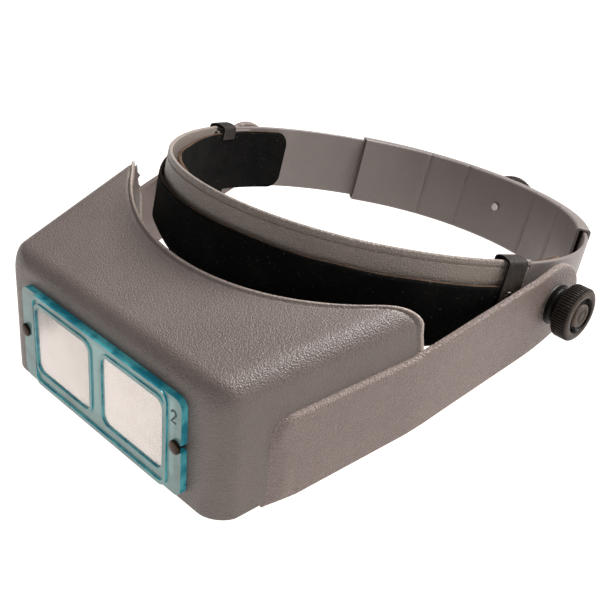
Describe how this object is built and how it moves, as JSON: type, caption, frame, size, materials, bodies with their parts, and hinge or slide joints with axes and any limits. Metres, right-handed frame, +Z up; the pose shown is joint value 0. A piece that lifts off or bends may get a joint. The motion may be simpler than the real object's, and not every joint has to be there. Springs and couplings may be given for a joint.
{
  "type": "head visor magnifier",
  "caption": "Head-worn magnifying visor: a hood with a lens plate, hinged on clamp knobs to an adjustable plastic headband with a leather comfort band.",
  "frame": {"origin": "on the surface the object stands on, under the centre of its bounding box", "axes": "+Z up as it stands, -Y the way the wearer looks, +X to the wearer's left"},
  "size_m": [0.235, 0.2922, 0.095],
  "materials": {
    "visor_plastic": "pebbled satin",
    "strap_plastic": "satin",
    "plate_acrylic": "clear tinted, polished",
    "lens_glass": "polished",
    "pin_metal": "dark bronzed",
    "steel": "plated",
    "washer_rubber": "matt",
    "knob_plastic": "satin, knurled",
    "cap_plastic": "satin",
    "leather": "suede outside, fine grain inside, brown cut edges",
    "pinion_plastic": "natural"
  },
  "bodies": {
    "headband": {"front_strap": "strap_plastic", "side_strap_left": "strap_plastic", "side_strap_right": "strap_plastic", "temple_rivets": "steel", "comfort_band": "leather", "comfort_loop_left": "leather", "comfort_loop_right": "leather", "loop_stud_left": "pin_metal", "loop_stud_right": "pin_metal", "pivot_bolt_left": "steel", "pivot_bolt_right": "steel", "friction_washer_left": "washer_rubber", "friction_washer_right": "washer_rubber", "spring_washer_left": "steel", "spring_washer_right": "steel", "pivot_collar_left": "knob_plastic", "pivot_collar_right": "knob_plastic"},
    "visor": {"visor_shell": "visor_plastic", "lens_plate_frame": "plate_acrylic", "lens_left": "lens_glass", "lens_right": "lens_glass", "lens_pin_left": "pin_metal", "lens_pin_right": "pin_metal", "lens_pin_clip_left": "steel", "lens_pin_clip_right": "steel"},
    "knob_left": {"pivot_knob_left": "knob_plastic", "knob_cap_left": "cap_plastic"},
    "knob_right": {"pivot_knob_right": "knob_plastic", "knob_cap_right": "cap_plastic"},
    "back_sleeve": {"back_sleeve": "strap_plastic"},
    "adjuster": {"adjuster_spindle": "steel", "adjuster_pinion": "pinion_plastic", "adjuster_knob": "knob_plastic", "adjuster_cap": "cap_plastic"}
  },
  "joints": [
    {"name": "visor_tilt", "type": "hinge", "parent": "headband", "child": "visor", "pos_m": [0, 0.0222, 0.04795], "axis": [-1, 0, 0], "range_deg": [-10, 80]},
    {"name": "knob_left_spin", "type": "hinge", "parent": "headband", "child": "knob_left", "pos_m": [0, 0.0222, 0.04795], "axis": [1, 0, 0], "range_deg": [0, 360]},
    {"name": "knob_right_spin", "type": "hinge", "parent": "headband", "child": "knob_right", "pos_m": [0, 0.0222, 0.04795], "axis": [-1, 0, 0], "range_deg": [0, 360]},
    {"name": "size_slide", "type": "slide", "parent": "headband", "child": "back_sleeve", "axis": [0, -0.9645, 0.2641], "range_m": [0, 0.02], "deforming": ["side_strap_left", "side_strap_right"]},
    {"name": "adjuster_spin", "type": "hinge", "parent": "back_sleeve", "child": "adjuster", "pos_m": [0, 0.13091, 0.01974], "axis": [0, -0.9645, 0.2641], "range_deg": [0, 230]}
  ],
  "couplings": [
    {"joint": "adjuster_spin", "follows": "size_slide", "rad_per_m": 200}
  ]
}
